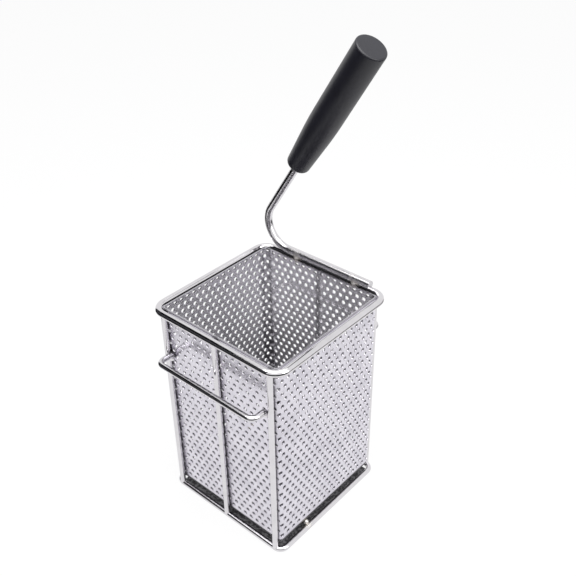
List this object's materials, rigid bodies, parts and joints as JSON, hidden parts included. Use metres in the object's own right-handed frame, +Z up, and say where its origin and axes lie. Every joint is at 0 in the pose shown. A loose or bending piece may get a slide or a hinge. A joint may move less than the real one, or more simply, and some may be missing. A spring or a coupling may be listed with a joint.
{
  "type": "fryer basket",
  "caption": "Square perforated steel basket with wire rim, base ring and posts, a hook bar on the front and on the back, and a bent wire handle with a tapered plastic grip rising from the back rim.",
  "frame": {"origin": "middle of the base ring, on the plane that the basket stands on", "axes": "+Z up, +Y towards the side of the rim that carries the handle, -Y towards the plain front, +X to the right seen from the front"},
  "size_m": [0.14, 0.1636, 0.4039],
  "materials": {
    "perforated_sheet": "electropolished stainless sheet",
    "polished_wire": "polished stainless wire",
    "black_grip": "satin black moulded plastic"
  },
  "bodies": {
    "root": {"basket_wall": "perforated_sheet", "basket_pan": "perforated_sheet", "top_rim_wire": "polished_wire", "base_ring_wire": "polished_wire", "front_post_left": "polished_wire", "front_post_middle": "polished_wire", "front_post_right": "polished_wire", "back_post_left": "polished_wire", "back_post_middle": "polished_wire", "back_post_right": "polished_wire", "front_hook_bar": "polished_wire", "back_hook_bar": "polished_wire", "handle_wire": "polished_wire", "handle_grip": "black_grip"}
  },
  "joints": []
}
